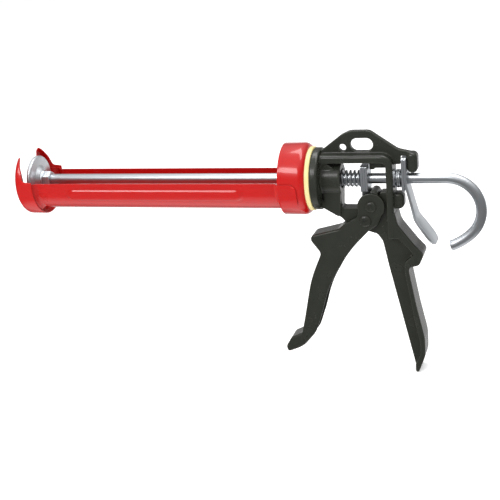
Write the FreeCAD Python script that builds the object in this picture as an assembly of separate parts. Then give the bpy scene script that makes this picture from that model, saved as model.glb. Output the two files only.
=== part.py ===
import FreeCAD, Part
import math
import os

# Heavy-duty cartridge caulking gun with a turning half-barrel cradle. Millimetres.
# The rod's axis is the X axis. -X points to the nozzle, +X to the hook, +Z up.
# The origin is on the rod's axis, at the collar's rear wall, where the cartridge seats.

# Cartridge and barrel
CARTRIDGE_D = 50.0
SHEET = 1.0
CRADLE_R = CARTRIDGE_D / 2 + SHEET
CRADLE_EDGE_DEG = 5.4
BAY_LENGTH = 268.0
CAP_R = 31.6
CAP_WALL = 1.1
CAP_DEPTH = 17.6
CAP_CORNER = 4.5
SLOT_TOP_HALF = 18.2
SLOT_R = 14.5
COLLAR_R = 31.0
COLLAR_WALL = 1.2
COLLAR_DEPTH = 21.3
COLLAR_REAR_R = 27.8
CAP_TAB_DEG = 62.0
COLLAR_TAB_DEG = 43.4
LANCE_DEG = 2.4
TONGUE_REAR = -14.0
TAB_REAR = -5.0
BEAD_FRONT = -214.0
BEAD_REAR = -61.0
BEAD_DEG = 19.0
BEAD_R = 9.0
BEAD_PROUD = 1.2

# Barrel bearing on the casting's hub
HUB_R = 14.0
HUB_FRONT = -3.4
HUB_CLEARANCE = 0.05
RING_FRONT_R = 27.5
RING_REAR_R = 26.9
RING_REAR = 5.0
CIRCLIP_GROOVE_R = 13.0
CIRCLIP_R = 17.0
THRUST_WASHER_R = 19.0
PARKING_BORE_R = 8.4
PARKING_DEPTH = 9.5

# Rod, hook and plunger
ROD_R = 4.5
BORE_R = ROD_R + 0.07
ROD_SHOULDER = -246.5
ROD_END = -264.0
STUD_R = 4.0
HOOK_START = 116.0
HOOK_R = 28.0
HOOK_TURN_DEG = 135.0
HOOK_TAIL_R = 50.0
HOOK_TAIL_DEG = 24.0
PLUNGER_R = 21.5
NUT_FLATS = 13.0
NUT_HEIGHT = 6.5
DOME_TOP = -254.4
DISC_REAR = -257.8

# Casting
FLANGE_R = 26.7
FLANGE_REAR = 11.5
BOSS_R = 13.5
BOSS_REAR = 28.2
WEB_HALF = 6.0
PLATE_HALF = 2.75
RIM_HALF = 11.8
RIM_CROWN = 2.8
PALM_HALF = 11.5
PALM_CROWN = 1.6
SEAT_BORE_R = 8.3
SEAT_BORE_DEPTH = 3.6
COLUMN_HALF = 9.3
LUG_HALF = 6.5
HANGER_HOLE_R = 3.1
RIM_UNDERSIDE = 16.0
WINDOW_TOP = 14.0
WINDOW_FLOOR = -24.5
BAR_FRONT = 67.3
BAR_REAR = 72.8

# Trigger
PIVOT_X = 53.3
PIVOT_Z = -22.3
TRIGGER_HALF = 10.5
CHEEK_INNER = 6.3
CHEEK_R = 11.6
PIVOT_LUG_R = 6.0
RELIEF_R = 31.8
TRIGGER_CROWN = 2.0
TRIGGER_TRAVEL_DEG = 34.0
PIN_R = 2.5
STOP_PIN_X = 48.0
STOP_PIN_Z = -34.8
NOSE_X = 55.6
NOSE_Z = -12.3
NOSE_R = 3.9

# Gripping plates, brake and springs
WASHER_THICK = 1.0
GRIP_FRONT = 45.2
GRIP_THICK = 2.0
GRIP_GAP = 0.05
GRIP_HALF = 9.0
SPRING_WIRE_R = 0.9
DRIVE_COIL_R = 6.4
RELEASE_FRONT = 79.7
PLATE_THICK = 2.1
LEVER_HALF = 8.8
THUMB_HALF = 12.6
LEVER_HOLE_R = 5.1
LEVER_TOP = 19.0

V = FreeCAD.Vector
X_AXIS = V(1, 0, 0)
ORIGIN = V(0, 0, 0)


def cylinder_x(x0, x1, r):
    """A solid round bar along the rod's axis."""
    return Part.makeCylinder(r, x1 - x0, V(x0, 0, 0), X_AXIS)


def cylinder_y(x, z, r, half):
    """A solid round bar across the gun, centred on the middle plane."""
    return Part.makeCylinder(r, 2 * half, V(x, -half, z), V(0, 1, 0))


def tube(x0, x1, r_out, r_in):
    return cylinder_x(x0, x1, r_out).cut(cylinder_x(x0 - 1, x1 + 1, r_in))


def box(x0, x1, y0, y1, z0, z1):
    return Part.makeBox(x1 - x0, y1 - y0, z1 - z0, V(x0, y0, z0))


def rounded_wire(points, y):
    """A closed outline in the plane at y. A point is (x, z) or (x, z, corner radius)."""
    edges = []
    ends = []
    count = len(points)
    for i in range(count):
        here = V(points[i][0], y, points[i][1])
        back = V(points[i - 1][0], y, points[i - 1][1]).sub(here)
        ahead = V(points[(i + 1) % count][0], y, points[(i + 1) % count][1]).sub(here)
        radius = points[i][2] if len(points[i]) > 2 else 0
        if radius == 0:
            ends.append((here, here))
            continue
        back.normalize()
        ahead.normalize()
        half = back.getAngle(ahead) / 2
        reach = radius / math.tan(half)
        middle = back.add(ahead)
        middle.normalize()
        centre = here.add(middle * (radius / math.sin(half)))
        start = here.add(back * reach)
        end = here.add(ahead * reach)
        top = centre.sub(middle * radius)
        edges.append(Part.Arc(start, top, end).toShape())
        ends.append((start, end))
    for i in range(count):
        start = ends[i - 1][1]
        end = ends[i][0]
        if start.distanceToPoint(end) > 1e-6:
            edges.append(Part.makeLine(start, end))
    return Part.Wire(Part.sortEdges(edges)[0])


def prism(points, half):
    """An outline in XZ made solid across the gun, from -half to +half."""
    return Part.Face(rounded_wire(points, -half)).extrude(V(0, 2 * half, 0))


def side_edges(shape, half, keep):
    """The edges that lie in either side face and whose middle passes the test keep(x, z)."""
    found = []
    for edge in shape.Edges:
        middle = edge.valueAt((edge.FirstParameter + edge.LastParameter) / 2)
        flat = all(abs(abs(v.Y) - half) < 1e-4 for v in edge.Vertexes)
        if flat and abs(abs(middle.y) - half) < 1e-4 and keep(middle.x, middle.z):
            found.append(edge)
    return found


def turned(profile, start_deg=0, sweep_deg=360):
    """A profile of (x, r) points turned about the rod's axis; 0 degrees is +Z, 90 is -Y."""
    points = [V(x, 0, r) for x, r in profile]
    face = Part.Face(Part.makePolygon(points + [points[0]]))
    face.rotate(ORIGIN, X_AXIS, start_deg)
    return face.revolve(ORIGIN, X_AXIS, sweep_deg)


def cut_all(shape, tools):
    for tool in tools:
        shape = shape.cut(tool)
    return shape


def fuse_all(shapes):
    return shapes[0].fuse(shapes[1:]).removeSplitter()


def cradle():
    """Half-round channel with a swaged side bead, joggled tabs at both ends and a tongue in the collar."""
    r_in = CRADLE_R - SHEET
    low = 90 - CRADLE_EDGE_DEG
    cap_tab_out = CAP_R - CAP_WALL - 0.05
    collar_tab_in = COLLAR_R + 0.05
    front = -BAY_LENGTH
    joggle = 4.5
    trough = turned([(front + 19, r_in), (front + 19, CRADLE_R), (-25, CRADLE_R), (-25, r_in)],
                    low, 180 + 2 * CRADLE_EDGE_DEG)
    cap_side = [(front + CAP_CORNER, cap_tab_out), (front + 15, cap_tab_out), (front + 15 + joggle, CRADLE_R),
                (-26, CRADLE_R)]
    collar_side = [(-27, CRADLE_R), (-26, CRADLE_R), (-26 + joggle, collar_tab_in + SHEET),
                   (TAB_REAR, collar_tab_in + SHEET)]
    sides = []
    for outer, sweep in ((cap_side, CAP_TAB_DEG), (collar_side, COLLAR_TAB_DEG)):
        inner = [(x, r - SHEET) for x, r in reversed(outer)]
        side = turned(outer + inner, low, sweep)
        sides += [side, side.mirror(ORIGIN, V(0, 1, 0))]
    tongue_low = low + COLLAR_TAB_DEG + LANCE_DEG
    tongue = turned([(-26, r_in), (-26, CRADLE_R), (TONGUE_REAR, CRADLE_R), (TONGUE_REAR, r_in)],
                    tongue_low, 2 * (180 - tongue_low))
    body = trough.fuse(sides + [tongue])
    for sign in (-1, 1):
        body = swage(body, sign, BEAD_R, BEAD_R - SHEET)
    return body.removeSplitter()


def capsule(sign, radius):
    """A round-ended bar at the bead's place, on the side of the given sign."""
    centre_r = CRADLE_R + BEAD_PROUD - BEAD_R
    angle = math.radians(BEAD_DEG)
    y = sign * centre_r * math.cos(angle)
    z = -centre_r * math.sin(angle)
    bar = Part.makeCylinder(radius, BEAD_REAR - BEAD_FRONT, V(BEAD_FRONT, y, z), X_AXIS)
    ends = [Part.makeSphere(radius, V(x, y, z)) for x in (BEAD_FRONT, BEAD_REAR)]
    return bar.fuse(ends)


def swage(body, sign, outer_r, inner_r):
    """Presses a long bead outwards and keeps the sheet's thickness."""
    inside = cylinder_x(BEAD_FRONT - 20, BEAD_REAR + 20, CRADLE_R - SHEET)
    bead = capsule(sign, outer_r).cut(inside)
    return body.fuse(bead).cut(capsule(sign, inner_r))


def front_cap():
    """Pressed cup at the nozzle end, open to the rear, with a slot for the nozzle."""
    front = -BAY_LENGTH - CAP_WALL
    rear = front + CAP_DEPTH
    shell = cylinder_x(front, rear, CAP_R)
    shell = shell.makeFillet(CAP_CORNER, [front_edge(shell, front)])
    core = cylinder_x(-BAY_LENGTH, rear + 1, CAP_R - CAP_WALL)
    core = core.makeFillet(CAP_CORNER - CAP_WALL, [front_edge(core, -BAY_LENGTH)])
    shell = shell.cut(core)
    slot = Part.Face(Part.makePolygon([V(front - 1, -SLOT_R, -1), V(front - 1, -SLOT_TOP_HALF, 24),
                                       V(front - 1, -SLOT_TOP_HALF, 40), V(front - 1, SLOT_TOP_HALF, 40),
                                       V(front - 1, SLOT_TOP_HALF, 24), V(front - 1, SLOT_R, -1),
                                       V(front - 1, -SLOT_R, -1)])).extrude(V(CAP_DEPTH + 2, 0, 0))
    slot = slot.cut(cylinder_x(front + CAP_CORNER + 2, rear + 2, CAP_R + 1).cut(
        box(front, rear + 2, -40, 40, 0, 40)))
    notch = cylinder_x(front - 1, front + CAP_CORNER + 2, SLOT_R)
    notch.translate(V(0, 0, -1))
    slope = prism([(front - 1, 29.0), (front + 3.8, 24.4, 4), (front + 7.0, 14.0, 9), (front + 8.8, 5.6, 3),
                   (rear + 1, 4.4),
                   (rear + 1, 40), (front - 1, 40)], 40)
    return cut_all(shell, [slot, notch, slope])


def front_edge(shape, x):
    """The round edge of a bar's end face at x."""
    for edge in shape.Edges:
        if edge.Closed and abs(edge.Vertexes[0].X - x) < 1e-6:
            return edge
    return None


def collar():
    """Pressed cup that holds the cartridge's rear end and turns on the casting's hub."""
    rim = -COLLAR_DEPTH
    rear = COLLAR_WALL
    outline = [V(rim, 0, COLLAR_R - COLLAR_WALL), V(rim, 0, COLLAR_R), V(-4.5, 0, COLLAR_R),
               V(-0.9, 0, 30.1), V(rear, 0, COLLAR_REAR_R)]
    hole_r = HUB_R + HUB_CLEARANCE
    edges = [Part.makeLine(outline[0], outline[1]),
             Part.makeLine(outline[1], outline[2]),
             Part.Arc(outline[2], outline[3], outline[4]).toShape(),
             Part.makeLine(outline[4], V(rear, 0, hole_r)),
             Part.makeLine(V(rear, 0, hole_r), V(0, 0, hole_r)),
             Part.makeLine(V(0, 0, hole_r), V(0, 0, 26.6)),
             Part.Arc(V(0, 0, 26.6), V(-1.9, 0, 28.9), V(-6, 0, COLLAR_R - COLLAR_WALL)).toShape(),
             Part.makeLine(V(-6, 0, COLLAR_R - COLLAR_WALL), outline[0])]
    return Part.Face(Part.Wire(edges)).revolve(ORIGIN, X_AXIS, 360)


def bearing_ring():
    """Plastic ring between the collar and the casting's flange."""
    front = COLLAR_WALL + 0.05
    hole_r = HUB_R + HUB_CLEARANCE
    return turned([(front, hole_r), (front, RING_FRONT_R), (RING_REAR - 0.8, RING_REAR_R + 0.5),
                   (RING_REAR, RING_REAR_R), (RING_REAR, hole_r)])


def barrel_thrust_washer():
    return tube(-1.25, -0.05, THRUST_WASHER_R, HUB_R + HUB_CLEARANCE)


def barrel_circlip():
    """Snap ring in the hub's groove, with its gap at the bottom."""
    ring = tube(-2.4, -1.35, CIRCLIP_R, CIRCLIP_GROOVE_R)
    return ring.cut(box(-4, 0, -4, 4, -20, 0))


def plunger_disc():
    """Pressed disc with a raised dome round the rod and a lip turned forwards."""
    t = 1.2
    rear = DISC_REAR
    return turned([(rear - 3.3, PLUNGER_R - t), (rear - 3.3, PLUNGER_R), (rear - 1, PLUNGER_R),
                   (rear, PLUNGER_R - 1), (rear, 12.6), (DOME_TOP - 0.8, 10.0), (DOME_TOP, 9.2),
                   (DOME_TOP, STUD_R + 0.05), (DOME_TOP - t, STUD_R + 0.05), (DOME_TOP - t, 8.8),
                   (DOME_TOP - 1.8, 9.3), (rear - t, 11.9), (rear - t, PLUNGER_R - 1.6),
                   (rear - 1.6, PLUNGER_R - t)])


def hexagon(x0, height, bore_r):
    """A hexagon nut along the rod's axis with its outer corners turned off."""
    corner = NUT_FLATS / math.sqrt(3)
    points = []
    for i in range(7):
        angle = math.radians(60 * i + 30)
        points.append(V(x0, corner * math.cos(angle), corner * math.sin(angle)))
    nut = Part.Face(Part.makePolygon(points)).extrude(V(height, 0, 0))
    chamfer = 0.7
    x1 = x0 + height
    envelope = turned([(x0, 0), (x0, corner - chamfer), (x0 + chamfer / 2, corner),
                       (x1 - chamfer / 2, corner), (x1, corner - chamfer), (x1, 0)])
    return nut.common(envelope).cut(cylinder_x(x0 - 1, x0 + height + 1, bore_r))


def plunger_washer():
    return tube(DOME_TOP, DOME_TOP + 1.2, 8.5, STUD_R + 0.05)


def plunger_rear_nut():
    return hexagon(DOME_TOP + 1.2, NUT_HEIGHT, STUD_R)


def plunger_front_nut():
    return hexagon(DOME_TOP - 1.2 - NUT_HEIGHT, NUT_HEIGHT, STUD_R)


def rod_with_hook():
    """Round bar with a threaded front stud and a pull hook bent at its rear end."""
    turn = math.radians(HOOK_TURN_DEG)
    tail = math.radians(HOOK_TURN_DEG + HOOK_TAIL_DEG)

    def on_hook(angle):
        return V(HOOK_START + HOOK_R * math.sin(angle), 0, -HOOK_R + HOOK_R * math.cos(angle))

    tail_centre = on_hook(turn).sub(V(math.sin(turn), 0, math.cos(turn)) * HOOK_TAIL_R)

    def on_tail(angle):
        return tail_centre.add(V(math.sin(angle), 0, math.cos(angle)) * HOOK_TAIL_R)

    start = V(ROD_SHOULDER, 0, 0)
    path = Part.Wire([
        Part.makeLine(start, V(HOOK_START, 0, 0)),
        Part.Arc(V(HOOK_START, 0, 0), on_hook(turn / 2), on_hook(turn)).toShape(),
        Part.Arc(on_hook(turn), on_tail((turn + tail) / 2), on_tail(tail)).toShape()])
    section = Part.Wire(Part.makeCircle(ROD_R, start, X_AXIS))
    bar = path.makePipeShell([section], True, False)
    stud = cylinder_x(ROD_END, ROD_SHOULDER, STUD_R)
    stud = stud.makeChamfer(0.8, [front_edge(stud, ROD_END)])
    return bar.fuse(stud)


def coil(x0, x1, r0, r1, turns, wire_r):
    """A helical spring from x0 to x1 whose coil radius runs from r0 to r1."""
    pitch = (x1 - x0) / turns
    angle = math.degrees(math.atan((r1 - r0) / (x1 - x0)))
    helix = Part.makeHelix(pitch, x1 - x0, r0, angle)
    section = Part.Wire(Part.makeCircle(wire_r, V(r0, 0, 0), V(0, 1, 0)))
    spring = Part.Wire(helix).makePipeShell([section], True, True)
    spring.rotate(ORIGIN, V(0, 1, 0), 90)
    spring.translate(V(x0, 0, 0))
    return spring


def drive_spring():
    """Spring that pushes the gripping plates back after a stroke."""
    front = BOSS_REAR - SEAT_BORE_DEPTH + WASHER_THICK + 0.1 + SPRING_WIRE_R
    rear = GRIP_FRONT - SPRING_WIRE_R - 0.1
    return coil(front, rear, DRIVE_COIL_R, DRIVE_COIL_R, 5, SPRING_WIRE_R)


def spring_seat():
    """Cupped washer that the drive spring stands on, in the rod boss."""
    front = BOSS_REAR - SEAT_BORE_DEPTH
    return tube(front, front + WASHER_THICK, SEAT_BORE_R - 0.1, BORE_R)


def gripping_plate(index):
    """One of the hardened plates that jam on the rod and carry it forwards."""
    x0 = GRIP_FRONT + index * (GRIP_THICK + GRIP_GAP)
    plate = box(x0, x0 + GRIP_THICK, -GRIP_HALF, GRIP_HALF, -9.8, 12.4)
    upright = [e for e in plate.Edges if abs(e.Vertexes[0].X - e.Vertexes[1].X) > 1]
    plate = plate.makeFillet(1.2, upright)
    tail = box(x0, x0 + GRIP_THICK, -4.6, 4.6, -14.8, -8)
    return plate.fuse(tail).removeSplitter().cut(cylinder_x(x0 - 1, x0 + 4, BORE_R))


def crown(band, half, radius, keep):
    """Rounds the outer edges of a rim, so that it is crowned across its width."""
    return band.makeFillet(radius, side_edges(band, half, keep))


def window_rim():
    """The rim over the window and down behind it."""
    outline = [(FLANGE_REAR - 2, 22.4), (BAR_REAR, 22.4, 9), (BAR_REAR, -50), (BAR_FRONT, -50),
               (BAR_FRONT, RIM_UNDERSIDE, 4), (FLANGE_REAR - 2, RIM_UNDERSIDE)]
    band = prism(outline, RIM_HALF)

    def outside(x, z):
        return z > 19 or x > BAR_REAR - 2.7

    return crown(band, RIM_HALF, RIM_CROWN, outside)


PALM_OUTER = [(BAR_FRONT + 2, -28), (73.6, -28.5), (75.6, -38, 14), (89.4, -56.2, 30), (96.8, -64.2, 4.2),
              (92.2, -74.2, 4.5), (82.8, -76.4, 4), (88.8, -112, 120), (94.9, -141, 40), (94.9, -158, 22),
              (87.4, -177, 1.6), (86.0, -172, 1)]
PALM_INNER = [(86.0, -166), (90.6, -156, 10), (91.0, -146, 20), (86.6, -124, 90), (79.8, -80, 20),
              (80.4, -71.0, 4), (88.6, -64.2, 2), (75.6, -50.2, 3), (BAR_FRONT + 2, -50.2)]


def palm_rim():
    """The rim down the back of the handle, with the horn over the hand."""
    band = prism(PALM_OUTER + PALM_INNER, PALM_HALF)
    inner = Part.makePolygon([V(p[0], 0, p[1]) for p in PALM_INNER])
    outer = Part.makePolygon([V(p[0], 0, p[1]) for p in PALM_OUTER[1:]])

    def outside(x, z):
        spot = Part.Vertex(x, 0, z)
        return x > BAR_REAR and spot.distToShape(outer)[0] < spot.distToShape(inner)[0]

    return crown(band, PALM_HALF, PALM_CROWN, outside)


def handle_web():
    """Flat middle wall of the handle, from the window's floor to the tip."""
    return prism([(FLANGE_REAR + 1.5, -8), (FLANGE_REAR, -24.4, 1.5), (26.8, -33.3, 4), (33, -40.5, 6),
                  (47, -44.6, 6), (57.2, -47.6, 5), (61.4, -54, 10), (65.6, -76, 60), (80.6, -145.5, 60),
                  (86.2, -171.5), (88, -168), (92, -150), (82, -84), (82, -72), (90, -65), (76, -49),
                  (BAR_FRONT + 2, -40), (BAR_FRONT + 2, -10.5), (60.6, -10.5, 1.5), (60.6, -21, 2),
                  (PIVOT_X, -21.5), (46.5, WINDOW_FLOOR, 2), (BOSS_REAR - 0.5, WINDOW_FLOOR, 1.5),
                  (BOSS_REAR - 0.5, -8)], WEB_HALF)


def hanger_plate():
    """Flat plate in the middle plane over the window, with the hanging slot, and the arm behind."""
    plate = prism([(FLANGE_REAR - 1, 24.2), (29.5, 38.4, 10), (36.5, 41.6, 8), (53.5, 41.6, 5),
                   (76.5, 25.6, 12), (90, 22.6), (90, 19.8), (78.6, 19.8), (78.6, 12.6), (BAR_FRONT, 12.6),
                   (BAR_FRONT, 9.6), (56.6, 9.6, 1.5), (56.2, 8.2), (52.2, 8.2), (52.2, WINDOW_TOP),
                   (FLANGE_REAR - 1, WINDOW_TOP)], PLATE_HALF)
    slot_z = 29.7
    slot_front = 42.4
    slot_rear = 50.6
    slot_r = 5.5
    tools = [cylinder_y(30.2, 27.4, HANGER_HOLE_R, 5)]
    for x in (slot_front, slot_rear):
        tools.append(cylinder_y(x, slot_z, slot_r, 5))
    tools.append(box(slot_front, slot_rear, -5, 5, slot_z - slot_r, slot_z + slot_r))
    return cut_all(plate, tools)


def rounded_lug(x0, x1, z0, z1):
    """A cast lug: rounded outline and rounded sides."""
    corner = 4.3
    lug = prism([(x0, z0, corner), (x1, z0, corner), (x1, z1, corner), (x0, z1, corner)], LUG_HALF)
    return lug.makeFillet(corner - 1.1, side_edges(lug, LUG_HALF, lambda x, z: True))


def stop_slot():
    """Arc slot in the web that the trigger's second pin travels in."""
    radius = math.hypot(STOP_PIN_X - PIVOT_X, STOP_PIN_Z - PIVOT_Z)
    start = math.atan2(STOP_PIN_Z - PIVOT_Z, STOP_PIN_X - PIVOT_X)
    margin = math.radians(1.2)
    end = start + math.radians(TRIGGER_TRAVEL_DEG) + margin
    start = start - margin
    slot_r = PIN_R + 0.35

    def at(angle, r):
        return V(PIVOT_X + r * math.cos(angle), -20, PIVOT_Z + r * math.sin(angle))

    middle = (start + end) / 2
    outer = radius + slot_r
    inner = radius - slot_r
    wire = Part.Wire([Part.Arc(at(start, outer), at(middle, outer), at(end, outer)).toShape(),
                      Part.makeLine(at(end, outer), at(end, inner)),
                      Part.Arc(at(end, inner), at(middle, inner), at(start, inner)).toShape(),
                      Part.makeLine(at(start, inner), at(start, outer))])
    slot = Part.Face(wire).extrude(V(0, 40, 0))
    ends = []
    for angle in (start, end):
        ends.append(cylinder_y(at(angle, radius).x, at(angle, radius).z, slot_r, 20))
    return slot.fuse(ends)


def body_frame():
    """The die casting: hub, flange, rod boss, window frame, hanger plate and handle."""
    flange = cylinder_x(RING_REAR + 0.05, FLANGE_REAR, FLANGE_R)
    flange = flange.makeFillet(1.6, [front_edge(flange, FLANGE_REAR)])
    flange = flange.makeFillet(0.8, [front_edge(flange, RING_REAR + 0.05)])
    hub = cylinder_x(HUB_FRONT, FLANGE_REAR, HUB_R)
    groove = tube(-2.45, -1.3, HUB_R + 1, CIRCLIP_GROOVE_R)
    boss = cylinder_x(FLANGE_REAR - 1, BOSS_REAR, BOSS_R)
    boss = boss.makeFillet(1.0, [front_edge(boss, BOSS_REAR)])
    column_front = FLANGE_REAR - 1
    column_rear = BOSS_REAR - 0.6
    column = prism([(column_front, 0), (column_front, -9), (13.6, -12), (11.9, -23.8, 1.5),
                    (26.6, -32.6, 2), (column_rear, -12), (column_rear, 0)], COLUMN_HALF)
    gusset = prism([(column_front, 18), (13.0, 18), (22.0, 11.5), (column_front, 4)], COLUMN_HALF)
    neck = box(column_front, column_rear, -PLATE_HALF, PLATE_HALF, 5, RIM_UNDERSIDE + 1)
    lug = cylinder_y(PIVOT_X, PIVOT_Z, PIVOT_LUG_R, WEB_HALF)
    palm = palm_rim()
    finger = rounded_lug(84.1, 93.0, 5.6, 22.9)
    peg = rounded_lug(BAR_REAR - 8, 80.8, -25.5, -11.5)
    casting = fuse_all([flange, hub.cut(groove), boss, column, gusset, neck, window_rim(), hanger_plate(),
                        handle_web(), lug, palm, finger, peg])
    seat = cylinder_x(BOSS_REAR - SEAT_BORE_DEPTH, BOSS_REAR + 1, SEAT_BORE_R)
    parking = cylinder_x(HUB_FRONT - 1, PARKING_DEPTH, PARKING_BORE_R)
    bore = cylinder_x(HUB_FRONT - 1, BAR_REAR + 20, BORE_R)
    pin_hole = cylinder_y(PIVOT_X, PIVOT_Z, PIN_R + 0.05, 20)
    return cut_all(casting, [seat, parking, bore, pin_hole, stop_slot()])


TRIGGER_FRONT = [(24.2, -42.6, 8), (-4.0, -49.7, 4.2), (7.2, -65.0, 5), (-3.4, -89, 120), (-11.5, -126, 60),
                 (-15.2, -141.4, 3), (-25.5, -146.0, 6), (-30.6, -154.5, 3), (-29.6, -160.4, 2.2)]
TRIGGER_REAR = [(-14.4, -154.2, 24), (-2.2, -140.2, 22), (4.4, -122, 60), (12.0, -96.4, 95),
                (31.7, -63.2, 120), (50.2, -44.2, 3), (58.0, -39.2, 6), (62.4, -31.0, 5), (60, -20),
                (42.4, -20), (40.6, -31.2, 3), (29.6, -37.6, 4)]


def trigger():
    """Cast trigger: two cheeks over the web, a nose bar between them, a hollow back."""
    body = prism(TRIGGER_FRONT + TRIGGER_REAR, TRIGGER_HALF)
    front = Part.makePolygon([V(p[0], 0, p[1]) for p in TRIGGER_FRONT])
    rear = Part.makePolygon([V(p[0], 0, p[1]) for p in TRIGGER_REAR[:8]])

    def leading(x, z):
        spot = Part.Vertex(x, 0, z)
        return x < 20 and spot.distToShape(front)[0] < spot.distToShape(rear)[0]

    body = crown(body, TRIGGER_HALF, TRIGGER_CROWN, leading)
    body = body.fuse(cylinder_y(PIVOT_X, PIVOT_Z, CHEEK_R, TRIGGER_HALF)).removeSplitter()
    relief = cylinder_y(PIVOT_X, PIVOT_Z, RELIEF_R, CHEEK_INNER)
    channel = prism([(14, -60, 3), (2.0, -90, 60), (-6.0, -126, 60), (-9.4, -139, 4), (0, -150), (45, -110),
                     (45, -50)], TRIGGER_HALF - 3.2)
    body = cut_all(body, [relief, channel])
    nose = cylinder_y(NOSE_X, NOSE_Z, NOSE_R, TRIGGER_HALF - 2.5)
    body = body.fuse(nose)
    holes = [cylinder_y(PIVOT_X, PIVOT_Z, PIN_R, 20), cylinder_y(STOP_PIN_X, STOP_PIN_Z, PIN_R, 20)]
    clearance = cylinder_y(PIVOT_X, PIVOT_Z, PIVOT_LUG_R + 0.3, CHEEK_INNER)
    return cut_all(body, holes + [clearance])


def rivet(x, z, head_r):
    """A pin with a domed head at each end, set through the trigger's cheeks."""
    shank = cylinder_y(x, z, PIN_R, TRIGGER_HALF)
    heads = []
    for sign in (-1, 1):
        start = V(x, sign * (TRIGGER_HALF + 0.02), z)
        head = Part.makeCylinder(head_r, 2.0, start, V(0, sign, 0))
        rim = [e for e in head.Edges if e.Closed and abs(abs(e.Vertexes[0].Y) - TRIGGER_HALF - 2.02) < 1e-3]
        heads.append(head.makeFillet(1.5, rim))
        heads.append(Part.makeCylinder(PIN_R, 0.1, V(x, sign * (TRIGGER_HALF - 0.05), z), V(0, sign, 0)))
    return shank.fuse(heads).removeSplitter()


def release_spring_seat():
    """Washer between the casting's rear bar and the release spring."""
    return tube(BAR_REAR, BAR_REAR + WASHER_THICK, 8.0, BORE_R)


def release_spring():
    """Conical spring that pushes the release lever back on to its fulcrum."""
    front = BAR_REAR + WASHER_THICK + SPRING_WIRE_R
    rear = RELEASE_FRONT - SPRING_WIRE_R - 0.1
    return coil(front, rear, 7.0, 5.6, 2.5, SPRING_WIRE_R)


def brake_plate():
    """Short plate that jams on the rod and stops it running back."""
    half = LEVER_HALF - 0.5
    plate = box(RELEASE_FRONT, RELEASE_FRONT + PLATE_THICK, -half, half, -10.4, LEVER_TOP)
    corners = [e for e in plate.Edges if abs(e.Vertexes[0].X - e.Vertexes[1].X) > 1]
    plate = plate.makeFillet(2.0, corners)
    return plate.cut(cylinder_x(RELEASE_FRONT - 1, RELEASE_FRONT + 4, LEVER_HOLE_R))


def release_lever():
    """Bent sheet lever behind the brake plate, with a rounded thumb end."""
    x0 = RELEASE_FRONT + PLATE_THICK + 0.05
    x1 = 84.0
    strip = prism([(x0, LEVER_TOP), (x1, LEVER_TOP), (x1, -3, 20), (91.2, -33, 12), (106.8, -55.4),
                   (105.0, -56.6), (89.2, -34, 14), (x0, -3, 22)], THUMB_HALF + 1)
    blank = prism([(-LEVER_HALF, LEVER_TOP), (LEVER_HALF, LEVER_TOP), (LEVER_HALF, -24, 60),
                   (THUMB_HALF, -42, 40), (THUMB_HALF, -56.2, 7.5), (-THUMB_HALF, -56.2, 7.5),
                   (-THUMB_HALF, -42, 40), (-LEVER_HALF, -24, 60)], 30)
    blank.rotate(ORIGIN, V(0, 0, 1), 90)
    blank.translate(V(x1 + 10, 0, 0))
    shape = strip.common(blank)
    top = []
    for edge in shape.Edges:
        level = all(abs(v.Z - LEVER_TOP) < 1e-4 for v in edge.Vertexes)
        if level and abs(edge.Vertexes[0].X - edge.Vertexes[-1].X) > 1:
            top.append(edge)
    shape = shape.makeFillet(2.0, top)
    return shape.cut(cylinder_x(x0 - 3, x1 + 3, LEVER_HOLE_R))


def write(name, shape):
    if not shape.isValid():
        print("NOT VALID", name)
    print(f"{name}: {len(shape.Solids)} solid(s), {shape.Volume / 1000:.2f} cm3, "
          f"X {shape.BoundBox.XMin:.1f}..{shape.BoundBox.XMax:.1f}")
    shape.exportStep(f"parts/{name}.step")


os.makedirs("parts", exist_ok=True)
write("cradle", cradle())
write("front_cap", front_cap())
write("collar", collar())
write("bearing_ring", bearing_ring())
write("barrel_thrust_washer", barrel_thrust_washer())
write("barrel_circlip", barrel_circlip())
write("body_frame", body_frame())
write("rod_with_hook", rod_with_hook())
write("plunger_disc", plunger_disc())
write("plunger_washer", plunger_washer())
write("plunger_rear_nut", plunger_rear_nut())
write("plunger_front_nut", plunger_front_nut())
write("drive_spring", drive_spring())
write("spring_seat", spring_seat())
for number in range(3):
    write(f"gripping_plate_{number + 1}", gripping_plate(number))
write("trigger", trigger())
write("trigger_pivot_pin", rivet(PIVOT_X, PIVOT_Z, 4.7))
write("trigger_stop_pin", rivet(STOP_PIN_X, STOP_PIN_Z, 5.0))
write("release_spring_seat", release_spring_seat())
write("release_spring", release_spring())
write("brake_plate", brake_plate())
write("release_lever", release_lever())
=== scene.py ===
import math

import bmesh
import bpy
from mathutils import Matrix, Vector


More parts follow.
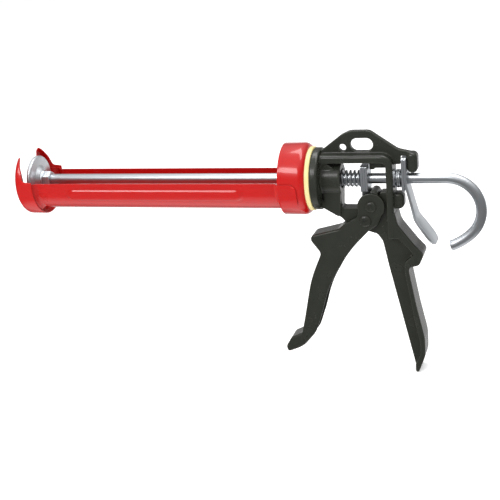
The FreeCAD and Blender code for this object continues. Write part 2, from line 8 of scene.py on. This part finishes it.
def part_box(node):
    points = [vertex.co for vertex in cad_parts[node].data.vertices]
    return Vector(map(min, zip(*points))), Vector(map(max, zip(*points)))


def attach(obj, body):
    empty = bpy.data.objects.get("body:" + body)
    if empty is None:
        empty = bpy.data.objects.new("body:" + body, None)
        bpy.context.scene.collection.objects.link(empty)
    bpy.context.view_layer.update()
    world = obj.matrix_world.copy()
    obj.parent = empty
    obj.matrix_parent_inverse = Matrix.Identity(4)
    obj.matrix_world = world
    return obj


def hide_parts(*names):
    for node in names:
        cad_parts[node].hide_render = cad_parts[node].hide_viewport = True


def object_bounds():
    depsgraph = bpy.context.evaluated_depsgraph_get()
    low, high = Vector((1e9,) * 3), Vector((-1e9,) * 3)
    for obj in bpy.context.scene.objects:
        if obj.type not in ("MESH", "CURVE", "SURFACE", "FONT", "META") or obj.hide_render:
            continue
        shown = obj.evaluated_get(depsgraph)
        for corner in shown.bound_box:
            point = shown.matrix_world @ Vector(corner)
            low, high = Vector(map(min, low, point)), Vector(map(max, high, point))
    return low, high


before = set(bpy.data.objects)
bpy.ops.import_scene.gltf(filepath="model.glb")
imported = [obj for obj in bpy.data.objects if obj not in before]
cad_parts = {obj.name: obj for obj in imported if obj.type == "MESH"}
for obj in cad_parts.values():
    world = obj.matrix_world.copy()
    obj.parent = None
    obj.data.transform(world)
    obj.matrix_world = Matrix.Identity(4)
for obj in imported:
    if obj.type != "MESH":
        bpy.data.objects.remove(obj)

cad_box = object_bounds()
MM = 0.001

# Studio camera: it looks at the middle of the gun from just under a metre, above the near side and
# a little towards the rear. It is rolled, so that the barrel runs level across the picture.
middle = [(low + high) / 2 for low, high in zip(*cad_box)]
AIM_DROP = 0.5 * MM
AIM = Vector(middle) - Vector((0, 0, AIM_DROP))
DISTANCE = 976.5 * MM
LENS_MM = 78.6
SENSOR_MM = 36
AZIMUTH = math.radians(18.567)
ELEVATION = math.radians(19.043)
ROLL = math.radians(-5.187)

forward = Vector((-math.sin(AZIMUTH) * math.cos(ELEVATION), math.cos(AZIMUTH) * math.cos(ELEVATION),
                  -math.sin(ELEVATION)))
level = Vector((math.cos(AZIMUTH), math.sin(AZIMUTH), 0))
upright = level.cross(forward)
right = level * math.cos(ROLL) + upright * math.sin(ROLL)
up = right.cross(forward)
camera_data = bpy.data.cameras.new("camera")
camera_data.lens = LENS_MM
camera_data.sensor_width = SENSOR_MM
camera = bpy.data.objects.new("camera", camera_data)
camera.matrix_world = Matrix((
    (right.x, up.x, -forward.x, AIM.x - forward.x * DISTANCE),
    (right.y, up.y, -forward.y, AIM.y - forward.y * DISTANCE),
    (right.z, up.z, -forward.z, AIM.z - forward.z * DISTANCE),
    (0, 0, 0, 1)))
bpy.context.collection.objects.link(camera)
bpy.context.scene.camera = camera
bpy.context.scene.view_settings.view_transform = "Standard"


# Soft studio light: a wide softbox over the near left side, one over the top, a fill in front and
# a low card at the right. The surround is white underneath, overhead and low down behind, and dark
# elsewhere, which gives gloss and bare metal bright edges with dark between them.
def softbox(name, place, width, height, power, mirrored=True):
    """A rectangular area light at place, facing the middle of the gun; mirrored shows it in gloss."""
    data = bpy.data.lights.new(name, "AREA")
    data.shape = "RECTANGLE"
    data.size = width
    data.size_y = height
    data.energy = power
    light = bpy.data.objects.new(name, data)
    light.location = place
    light.rotation_euler = (AIM - Vector(place)).to_track_quat("-Z", "Y").to_euler()
    light.visible_glossy = mirrored
    bpy.context.collection.objects.link(light)


softbox("key_softbox", (-0.6, -1.15, 0.98), width=0.95, height=0.42, power=11)
softbox("front_fill", (-0.3, -1.7, 0.5), width=1.8, height=1.2, power=11, mirrored=False)
softbox("top_softbox", (0.1, 0.25, 1.3), width=1.4, height=0.5, power=12)
softbox("right_card", (1.2, -0.5, 0.35), width=0.5, height=0.7, power=1.5, mirrored=False)


def set_sockets(tree, node, sockets):
    """Sets a node's inputs. Each value is a number, a colour, or another node's output to link."""
    for name, value in sockets.items():
        if isinstance(value, bpy.types.NodeSocket):
            tree.links.new(value, node.inputs[name])
        else:
            node.inputs[name].default_value = value


def add(tree, kind, sockets=None, **settings):
    """Adds a node with its settings, values and links."""
    made = tree.nodes.new(kind)
    for name, value in settings.items():
        setattr(made, name, value)
    set_sockets(tree, made, sockets or {})
    return made


# The surround's grey at each height, where 0 is straight down, 0.5 level and 1 straight up.
GREY_BELOW = 0.9
GREYS_BETWEEN = ((0.05, 0.85), (0.10, 0.15), (0.5, 0.18), (0.68, 0.20))
WHITE_FROM = 0.96
GREY_BEHIND = 0.85

world = bpy.data.worlds.new("studio")
world.use_nodes = True
tree = world.node_tree
way = add(tree, "ShaderNodeTexCoord").outputs["Generated"]
heading = add(tree, "ShaderNodeSeparateXYZ", {"Vector": way})
rise = add(tree, "ShaderNodeMapRange", {"Value": heading.outputs["Z"], "From Min": -1})
shade = add(tree, "ShaderNodeValToRGB", {"Fac": rise.outputs["Result"]})
stops = shade.color_ramp.elements
stops[0].color = (GREY_BELOW, GREY_BELOW, GREY_BELOW, 1)
stops[1].position = WHITE_FROM
stops[1].color = (1, 1, 1, 1)
for position, grey in GREYS_BETWEEN:
    stops.new(position).color = (grey, grey, grey, 1)
backdrop = add(tree, "ShaderNodeMapRange", {"Value": heading.outputs["Y"], "From Min": 0.55,
                                            "From Max": 0.85})
low_down = add(tree, "ShaderNodeMapRange", {"Value": heading.outputs["Z"], "From Min": 0.25,
                                            "From Max": 0.02})
both = add(tree, "ShaderNodeMath", {0: backdrop.outputs["Result"], 1: low_down.outputs["Result"]},
           operation="MULTIPLY")
behind = add(tree, "ShaderNodeMix", {"Factor": both.outputs["Value"], "A": shade.outputs["Color"],
                                     "B": (GREY_BEHIND, GREY_BEHIND, GREY_BEHIND, 1)}, data_type="RGBA")
set_sockets(tree, tree.nodes["Background"], {"Strength": 1.1, "Color": behind.outputs["Result"]})
bpy.context.scene.world = world


# Floor: a plain white sheet of paper, wide enough to fill the view from any side. It glows a
# little, so that it stays white all over, and it isn't mirrored in the gloss.
FLOOR_REACH = 30
FLOOR_GAP = 0.2 * MM


def linear(hex_value):
    """An sRGB hex value, such as "C8171A", as linear red, green, blue and alpha."""
    parts = []
    for start in (0, 2, 4):
        value = int(hex_value[start:start + 2], 16) / 255
        parts.append(value / 12.92 if value <= 0.04045 else ((value + 0.055) / 1.055) ** 2.4)
    return (*parts, 1)


def material(name):
    """A new material, with its node tree and its Principled shader."""
    made = bpy.data.materials.new(name)
    made.use_nodes = True
    return made, made.node_tree, made.node_tree.nodes["Principled BSDF"]


paper, tree, shader = material("white_paper")
set_sockets(tree, shader, {"Base Color": linear("FAFAFA"), "Roughness": 0.9,
                           "Emission Color": linear("FFFFFF"), "Emission Strength": 0.32})
bm = bmesh.new()
bmesh.ops.create_grid(bm, x_segments=1, y_segments=1, size=FLOOR_REACH)
bmesh.ops.translate(bm, verts=bm.verts, vec=(0, 0, cad_box[0][2] - FLOOR_GAP))
floor_mesh = bpy.data.meshes.new("floor")
bm.to_mesh(floor_mesh)
bm.free()
floor_mesh.materials.append(paper)
floor = bpy.data.objects.new("floor", floor_mesh)
bpy.context.collection.objects.link(floor)
floor.visible_glossy = False


# Cradle: a trough pressed from 1 mm mild steel sheet, with a long bead pressed out of each side for
# stiffness and a joggled tab at each end, spot-welded into the cap and on to the collar.
# It is powder-coated gloss red after welding.
CRADLE_R = 26 * MM
SHEET = 1 * MM
TROUGH_FRONT = -249 * MM
TROUGH_REAR = -25 * MM
JOGGLE = 4.5 * MM
# The trough is a little more than half round: each upper edge stands EDGE_DEG above level.
# The tabs at its ends are measured round from those edges, as degrees.
EDGE_DEG = 5.4
CAP_TAB_R = 30.45 * MM
CAP_TAB_DEG = 62
COLLAR_TAB_R = 32.05 * MM
COLLAR_TAB_DEG = 43.4
TAB_CORNER = 6.5 * MM
# Slits of twice LANCE_DEG part the collar tabs from a tongue, which stays as low as the trough.
LANCE_DEG = 1.2
TONGUE_REAR = -14 * MM
BEAD_FRONT = -214 * MM
BEAD_REAR = -61 * MM
BEAD_DEG = 19
BEAD_HEIGHT = 1.5 * MM
BEAD_HALF = 6.0 * MM
BEAD_STEEPNESS = 2.8
STEPS_ALONG = 144
STEPS_ROUND = 160
cradle_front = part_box("cradle")[0][0]
cradle_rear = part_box("cradle")[1][0]


def gloss_red_powder_coat():
    """Baked powder coat on steel: a deep even red in a smooth gloss skin with faint orange peel.

    It is thinner, and so paler, on the sharpest edges."""
    made, tree, shader = material("gloss_red_powder_coat")
    place = add(tree, "ShaderNodeTexCoord").outputs["Object"]
    clouds = add(tree, "ShaderNodeTexNoise", {"Vector": place, "Scale": 1 / (45 * MM), "Detail": 3.0})
    body = add(tree, "ShaderNodeMix", {"Factor": clouds.outputs["Fac"], "A": linear("B20906"),
                                       "B": linear("A60705")}, data_type="RGBA")
    edge = add(tree, "ShaderNodeNewGeometry").outputs["Pointiness"]
    thin = add(tree, "ShaderNodeMapRange", {"Value": edge, "From Min": 0.53, "From Max": 0.62,
                                            "To Max": 0.45})
    coat = add(tree, "ShaderNodeMix", {"Factor": thin.outputs["Result"], "A": body.outputs["Result"],
                                       "B": linear("D8403C")}, data_type="RGBA")
    peel = add(tree, "ShaderNodeTexNoise", {"Vector": place, "Scale": 1 / (2.2 * MM), "Detail": 2.0})
    skin = add(tree, "ShaderNodeBump", {"Height": peel.outputs["Fac"], "Strength": 0.10,
                                        "Distance": 0.12 * MM})
    gloss = add(tree, "ShaderNodeMapRange", {"Value": clouds.outputs["Fac"], "To Min": 0.24, "To Max": 0.34})
    set_sockets(tree, shader, {"Base Color": coat.outputs["Result"], "Roughness": gloss.outputs["Result"],
                               "Normal": skin.outputs["Normal"], "IOR": 1.5, "Specular IOR Level": 0.3,
                               "Coat Weight": 0.65, "Coat Roughness": 0.06, "Coat IOR": 1.45})
    return made


def finish_piece(bm, name, finish, body, nodes, smooth_deg=35):
    """Turns a bmesh into a piece that stands for CAD nodes and rides with their body.

    Edges sharper than smooth_deg stay crisp."""
    mesh = bpy.data.meshes.new(name)
    bm.to_mesh(mesh)
    bm.free()
    mesh.materials.clear()
    mesh.materials.append(finish)
    mesh.shade_smooth()
    mesh.set_sharp_from_angle(angle=math.radians(smooth_deg))
    piece = bpy.data.objects.new(name, mesh)
    bpy.context.collection.objects.link(piece)
    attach(piece, body)
    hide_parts(*nodes)
    return piece


red = gloss_red_powder_coat()


def smooth_step(value):
    value = min(max(value, 0), 1)
    return value * value * (3 - 2 * value)


def cradle_radius(x):
    """Outer radius of the pressing at x: the trough, and the joggles up to the tabs."""
    if x < TROUGH_FRONT:
        return CRADLE_R + (CAP_TAB_R - CRADLE_R) * smooth_step((TROUGH_FRONT - x) / JOGGLE)
    return CRADLE_R + (COLLAR_TAB_R - CRADLE_R) * smooth_step((x - TROUGH_REAR) / JOGGLE)


def bead_height(x, below):
    """How far the bead stands out at x, at an angle below level."""
    across = (below - math.radians(BEAD_DEG)) * CRADLE_R
    along = max(0, BEAD_FRONT - x, x - BEAD_REAR)
    return BEAD_HEIGHT * smooth_step(BEAD_STEEPNESS * (1 - math.hypot(across, along) / BEAD_HALF))


def round_tab_corner(bm, side, edge_deg, sense):
    """Rounds the rear corner of a collar tab whose edge is edge_deg below level on one side.

    The tab lies above that edge where sense is 1, and below it where sense is -1."""
    turn = math.radians(edge_deg - sense * math.degrees(TAB_CORNER / COLLAR_TAB_R))
    out = Vector((0, side * math.cos(turn), -math.sin(turn)))
    past_edge = Vector((0, -side * math.sin(turn), -math.cos(turn))) * sense
    centre = Vector((cradle_rear - TAB_CORNER, 0, 0)) + out * COLLAR_TAB_R
    # Three flat cuts, evenly turned, stand for the round. Each takes only the faces near the corner.
    for cut_deg in (22.5, 45, 67.5):
        aim = Vector((math.cos(math.radians(cut_deg)), 0, 0)) + past_edge * math.sin(math.radians(cut_deg))
        near = [f for f in bm.faces if f.calc_center_median().x > cradle_rear - 1.4 * TAB_CORNER
                and f.calc_center_median().dot(out) > 0.5 * COLLAR_TAB_R]
        region = {g for f in near for g in (f, *f.edges, *f.verts)}
        bmesh.ops.bisect_plane(bm, geom=list(region), plane_co=centre + aim * TAB_CORNER, plane_no=aim,
                               clear_outer=True)


bm = bmesh.new()
line = []
for i in range(STEPS_ALONG + 1):
    x = cradle_front + (cradle_rear - cradle_front) * i / STEPS_ALONG
    line.append(bm.verts.new((x, 0, cradle_radius(x))))
for first, second in zip(line, line[1:]):
    bm.edges.new((first, second))
start = Matrix.Rotation(math.radians(90 - EDGE_DEG), 3, "X")
bmesh.ops.rotate(bm, verts=bm.verts, cent=(0, 0, 0), matrix=start)
bmesh.ops.spin(bm, geom=bm.verts[:] + bm.edges[:], cent=(0, 0, 0), axis=(1, 0, 0),
               angle=math.radians(180 + 2 * EDGE_DEG), steps=STEPS_ROUND)
cut_away = []
for face in bm.faces:
    centre = face.calc_center_median()
    below = math.degrees(math.atan2(-centre.z, abs(centre.y)))
    past_tab = below - (COLLAR_TAB_DEG - EDGE_DEG)
    beside_cap_tab = centre.x < TROUGH_FRONT and below > CAP_TAB_DEG - EDGE_DEG
    in_slit = centre.x > TROUGH_REAR and abs(past_tab) < LANCE_DEG
    behind_tongue = centre.x > TONGUE_REAR and past_tab > 0
    if beside_cap_tab or in_slit or behind_tongue:
        cut_away.append(face)
bmesh.ops.delete(bm, geom=cut_away, context="FACES")
for vert in bm.verts:
    below = math.atan2(-vert.co.z, abs(vert.co.y))
    radius = math.hypot(vert.co.y, vert.co.z)
    press = bead_height(vert.co.x, below)
    if vert.co.x > TROUGH_REAR and math.degrees(below) > COLLAR_TAB_DEG - EDGE_DEG:
        press = CRADLE_R - radius
    vert.co.y *= (radius + press) / radius
    vert.co.z *= (radius + press) / radius
bmesh.ops.recalc_face_normals(bm, faces=bm.faces)
lowest = min(bm.faces, key=lambda f: f.calc_center_median().z)
if lowest.normal.z > 0:
    bmesh.ops.reverse_faces(bm, faces=bm.faces)
for side in (-1, 1):
    round_tab_corner(bm, side, COLLAR_TAB_DEG - EDGE_DEG - LANCE_DEG, 1)
    round_tab_corner(bm, side, -EDGE_DEG, -1)
cradle = finish_piece(bm, "cradle_trough", red, "barrel", ["cradle"], 60)
wall = cradle.modifiers.new("sheet_thickness", "SOLIDIFY")
wall.thickness = SHEET
wall.offset = -1
wall.use_even_offset = True
edges = cradle.modifiers.new("rounded_edges", "BEVEL")
edges.width = 0.3 * MM
edges.segments = 2
edges.limit_method = "ANGLE"
edges.angle_limit = math.radians(50)


# Front cap: a deep-drawn steel cup, slotted to drop a cartridge's nozzle in, and welded to the
# cradle before the red coat.
DOUBLES_GAP = 0.002 * MM
FLAT_DEG = 0.4
SHARP_DEG = 32


def rounded_copy(node, round_mm):
    """A bmesh of a CAD node's shape with its doubles merged and its sharp edges rounded."""
    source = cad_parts[node]
    bm = bmesh.new()
    bm.from_mesh(source.data)
    bmesh.ops.transform(bm, matrix=source.matrix_world, verts=bm.verts)
    bmesh.ops.remove_doubles(bm, verts=bm.verts, dist=DOUBLES_GAP)
    bmesh.ops.dissolve_limit(bm, angle_limit=math.radians(FLAT_DEG), verts=bm.verts, edges=bm.edges)
    if round_mm > 0:
        sharp = [e for e in bm.edges if e.is_manifold and e.calc_face_angle() > math.radians(SHARP_DEG)]
        bmesh.ops.bevel(bm, geom=sharp, offset=round_mm * MM, affect="EDGES", segments=2, profile=0.5,
                        material=-1, clamp_overlap=False)
    return bm


finish_piece(rounded_copy("front_cap", 0.3), "front_cap_pressing", red, "barrel", ["front_cap"])

# Collar: a drawn steel cup with a turned-in rear wall, which holds the cartridge's rear end and
# turns on the casting's hub. It has the same red coat.
finish_piece(rounded_copy("collar", 0.3), "collar_pressing", red, "barrel", ["collar"])


# Bearing ring: a moulded pale yellow nylon washer that stays with the casting, and on which the
# collar turns.
def pale_nylon():
    """Natural nylon: a waxy, slightly translucent pale yellow with a soft satin skin."""
    made, tree, shader = material("pale_yellow_nylon")
    place = add(tree, "ShaderNodeTexCoord").outputs["Object"]
    clouds = add(tree, "ShaderNodeTexNoise", {"Vector": place, "Scale": 1 / (9 * MM), "Detail": 2.0})
    tone = add(tree, "ShaderNodeMix", {"Factor": clouds.outputs["Fac"], "A": linear("E2D59E"),
                                       "B": linear("D6C584")}, data_type="RGBA")
    grain = add(tree, "ShaderNodeTexNoise", {"Vector": place, "Scale": 1 / (0.6 * MM)})
    skin = add(tree, "ShaderNodeBump", {"Height": grain.outputs["Fac"], "Strength": 0.1,
                                        "Distance": 0.05 * MM})
    gloss = add(tree, "ShaderNodeMapRange", {"Value": clouds.outputs["Fac"], "To Min": 0.35, "To Max": 0.5})
    set_sockets(tree, shader, {"Base Color": tone.outputs["Result"], "Roughness": gloss.outputs["Result"],
                               "Normal": skin.outputs["Normal"], "IOR": 1.53, "Subsurface Weight": 0.3,
                               "Subsurface Radius": (1.2 * MM, 1.0 * MM, 0.5 * MM), "Subsurface Scale": 1.0})
    return made


finish_piece(rounded_copy("bearing_ring", 0.25), "bearing_ring_moulding", pale_nylon(), "frame",
             ["bearing_ring"])


# Body: one die casting with the hub, flange, rod boss, window, hanger plate and handle. It is
# shot-blasted and powder-coated satin black, so every edge is soft.
def satin_black_powder_coat(name, dark, pale, grain_mm):
    """Black coat on blasted metal: near black with a satin shine, finely pebbled over faint waves.

    It is paler on its sharpest edges, a painted highlight. The grain is drawn coarse enough to show."""
    made, tree, shader = material(name)
    place = add(tree, "ShaderNodeTexCoord").outputs["Object"]
    clouds = add(tree, "ShaderNodeTexNoise", {"Vector": place, "Scale": 1 / (18 * MM), "Detail": 4.0})
    body = add(tree, "ShaderNodeMix", {"Factor": clouds.outputs["Fac"], "A": linear(dark),
                                       "B": linear("2C2E28")}, data_type="RGBA")
    edge = add(tree, "ShaderNodeNewGeometry").outputs["Pointiness"]
    # Painted highlight: the sharpest edges are mixed towards the pale colour.
    painted_edge_highlight = add(tree, "ShaderNodeMapRange", {"Value": edge, "From Min": 0.52, "From Max": 0.60, "To Max": 0.6})
    coat = add(tree, "ShaderNodeMix", {"Factor": painted_edge_highlight.outputs["Result"], "A": body.outputs["Result"],
                                       "B": linear(pale)}, data_type="RGBA")
    pebble = add(tree, "ShaderNodeTexNoise", {"Vector": place, "Scale": 1 / (grain_mm * MM), "Detail": 3.0})
    blast = add(tree, "ShaderNodeTexNoise", {"Vector": place, "Scale": 1 / (3.5 * MM), "Detail": 1.0})
    waves = add(tree, "ShaderNodeBump", {"Height": blast.outputs["Fac"], "Strength": 0.12,
                                         "Distance": 0.3 * MM})
    skin = add(tree, "ShaderNodeBump", {"Height": pebble.outputs["Fac"], "Normal": waves.outputs["Normal"],
                                        "Strength": 0.35, "Distance": 0.12 * MM})
    gloss = add(tree, "ShaderNodeMapRange", {"Value": clouds.outputs["Fac"], "To Min": 0.20, "To Max": 0.32})
    set_sockets(tree, shader, {"Base Color": coat.outputs["Result"], "Roughness": gloss.outputs["Result"],
                               "Normal": skin.outputs["Normal"], "IOR": 1.5, "Specular IOR Level": 0.36})
    return made


def cast_copy(node, voxel_mm):
    """A bmesh of a CAD node's shape with every edge softened, as on a blasted and coated casting."""
    mesh = bpy.data.meshes.new(node + "_cast")
    bm = rounded_copy(node, 0)
    bm.to_mesh(mesh)
    bm.free()
    rough = bpy.data.objects.new(node + "_cast", mesh)
    bpy.context.collection.objects.link(rough)
    remesh = rough.modifiers.new("even_skin", "REMESH")
    remesh.mode = "VOXEL"
    remesh.voxel_size = voxel_mm * MM
    soften = rough.modifiers.new("softened_edges", "SMOOTH")
    soften.factor = 0.4
    soften.iterations = 2
    depsgraph = bpy.context.evaluated_depsgraph_get()
    cast = bpy.data.meshes.new_from_object(rough.evaluated_get(depsgraph))
    bpy.data.objects.remove(rough)
    bm = bmesh.new()
    bm.from_mesh(cast)
    bpy.data.meshes.remove(cast)
    return bm


# A casting has no crisp edge at all.
NO_CRISP_DEG = 180
black = satin_black_powder_coat("satin_black_powder_coat", "232520", "50534B", 0.8)
finish_piece(cast_copy("body_frame", 0.65), "body_casting", black, "frame", ["body_frame"],
             NO_CRISP_DEG)

# Trigger: a second black die casting, two cheeks over the handle's web with a bar between them
# that pushes the plates, and a hollow back.
finish_piece(cast_copy("trigger", 0.6), "trigger_casting", black, "trigger", ["trigger"],
             NO_CRISP_DEG)


# Trigger pins: blackened steel pins across the trigger and the handle's web, headed over at both
# ends, with a small dimple from the punch in each domed head.
SHANK_R = 2.5 * MM
HEAD_HEIGHT = 2.0 * MM
STEPS_ROUND_HEAD = 40


def rivet_piece(node, name, head_r):
    """A pin across the gun with a domed, dimpled head at each end."""
    low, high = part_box(node)
    centre = Vector(((low[0] + high[0]) / 2, 0, (low[2] + high[2]) / 2))
    top = high[1]
    seat = top - HEAD_HEIGHT
    dimple = [(0, top - 0.55 * MM), (1.0 * MM, top - 0.5 * MM), (1.7 * MM, top - 0.1 * MM)]
    dome = [(2.2 * MM, top), (0.62 * head_r, top - 0.08 * MM), (0.88 * head_r, top - 0.6 * MM),
            (head_r, top - 1.4 * MM), (head_r, seat)]
    half = dimple + dome + [(SHANK_R, seat), (SHANK_R, 0)]
    profile = half + [(r, -y) for r, y in reversed(half[:-1])]
    bm = bmesh.new()
    verts = [bm.verts.new((centre.x + r, y, centre.z)) for r, y in profile]
    for first, second in zip(verts, verts[1:]):
        bm.edges.new((first, second))
    bmesh.ops.spin(bm, geom=bm.verts[:] + bm.edges[:], cent=centre, axis=(0, 1, 0), angle=math.tau,
                   steps=STEPS_ROUND_HEAD, use_merge=True)
    bmesh.ops.remove_doubles(bm, verts=bm.verts, dist=0.005 * MM)
    bmesh.ops.recalc_face_normals(bm, faces=bm.faces)
    return finish_piece(bm, name, rivet_black, "trigger", [node], 40)


rivet_black = satin_black_powder_coat("black_oxide_rivet", "161715", "41433D", 0.5)
rivet_piece("trigger_pivot_pin", "pivot_rivet", 4.7 * MM)
rivet_piece("trigger_stop_pin", "stop_rivet", 5.0 * MM)


# Rod: 9 mm drawn mild steel bar, bent to a hook at the rear and turned down and threaded at the
# front, then bright zinc plated.
def bright_zinc(name, streak, rough_low, rough_high, light="E4E7EA", dull="CBD0D5"):
    """Zinc plate: a bluish bright metal, a little cloudy, with the fine lines of the steel under it."""
    made, tree, shader = material(name)
    place = add(tree, "ShaderNodeTexCoord").outputs["Object"]
    clouds = add(tree, "ShaderNodeTexNoise", {"Vector": place, "Scale": 1 / (11 * MM), "Detail": 4.0})
    tone = add(tree, "ShaderNodeMix", {"Factor": clouds.outputs["Fac"], "A": linear(light),
                                       "B": linear(dull)}, data_type="RGBA")
    drawn = add(tree, "ShaderNodeMapping", {"Vector": place, "Scale": streak})
    lines = add(tree, "ShaderNodeTexNoise", {"Vector": drawn.outputs["Vector"], "Scale": 1.0, "Detail": 3.0})
    skin = add(tree, "ShaderNodeBump", {"Height": lines.outputs["Fac"], "Strength": 0.10,
                                        "Distance": 0.02 * MM})
    blend = add(tree, "ShaderNodeMath", {0: clouds.outputs["Fac"], 1: lines.outputs["Fac"]},
                operation="MULTIPLY")
    gloss = add(tree, "ShaderNodeMapRange", {"Value": blend.outputs["Value"], "From Max": 0.5,
                                             "To Min": rough_low, "To Max": rough_high})
    set_sockets(tree, shader, {"Base Color": tone.outputs["Result"], "Roughness": gloss.outputs["Result"],
                               "Normal": skin.outputs["Normal"], "Metallic": 1.0})
    return made


# The lines left by drawing or rolling are finer than this: 0.35 mm apart is as fine as shows.
LINE = 1 / (0.35 * MM)
LONG = 1 / (25 * MM)
rod_zinc = bright_zinc("zinc_plated_drawn_bar", (LONG, LINE, LINE), 0.30, 0.44)
finish_piece(rounded_copy("rod_with_hook", 0.2), "hooked_rod", rod_zinc, "rod", ["rod_with_hook"])

# Plunger: a disc pressed from 1.2 mm steel with a raised middle, held loosely between a washer
# and two hexagon nuts. All of them are zinc plated.
pressed_zinc = bright_zinc("zinc_plated_pressing", (LINE, LINE, LONG), 0.34, 0.50)
finish_piece(rounded_copy("plunger_disc", 0.15), "plunger_pressing", pressed_zinc, "plunger",
             ["plunger_disc"])
for node in ("plunger_rear_nut", "plunger_front_nut"):
    finish_piece(rounded_copy(node, 0.15), node + "_turned", pressed_zinc, "rod", [node])

# Gripping plates: three hardened plates blanked from 2 mm strip and zinc plated. They sit on the
# rod in the casting's window, where the trigger pushes them so that they jam on it and drive it.
for number in (1, 2, 3):
    node = f"gripping_plate_{number}"
    finish_piece(rounded_copy(node, 0.25), f"jamming_plate_{number}", pressed_zinc, "grip",
                 [node])

# Release lever and brake plate: blanked from 2 mm strip, the lever bent to a thumb pad, then tumbled
# to round their edges and zinc plated. They hold the rod until the thumb presses the lever.
finish_piece(rounded_copy("release_lever", 0.45), "thumb_lever", pressed_zinc, "release",
             ["release_lever"])
finish_piece(rounded_copy("brake_plate", 0.35), "brake_plate_blank", pressed_zinc, "release",
             ["brake_plate"])

# Springs: 1.8 mm hard-drawn wire, coiled cold and zinc plated, a little duller than the plates.
# One pushes the gripping plates back, and the conical one keeps the release lever tilted.
wire_zinc = bright_zinc("zinc_plated_wire", (LINE, LINE, LINE), 0.26, 0.40, "DADDE0", "BEC2C5")
finish_piece(rounded_copy("drive_spring", 0), "drive_coil", wire_zinc, "frame",
             ["drive_spring"])
finish_piece(rounded_copy("release_spring", 0), "release_coil", wire_zinc, "frame",
             ["release_spring"])

# Washers and snap ring: small stamped pieces, mostly hidden, which are shown as designed. The
# washers are zinc plated like the plunger, and the snap ring like the springs.
for node, plating in (("barrel_thrust_washer", pressed_zinc), ("plunger_washer", pressed_zinc),
                      ("spring_seat", pressed_zinc), ("release_spring_seat", pressed_zinc),
                      ("barrel_circlip", wire_zinc)):
    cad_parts[node].data.materials.clear()
    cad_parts[node].data.materials.append(plating)
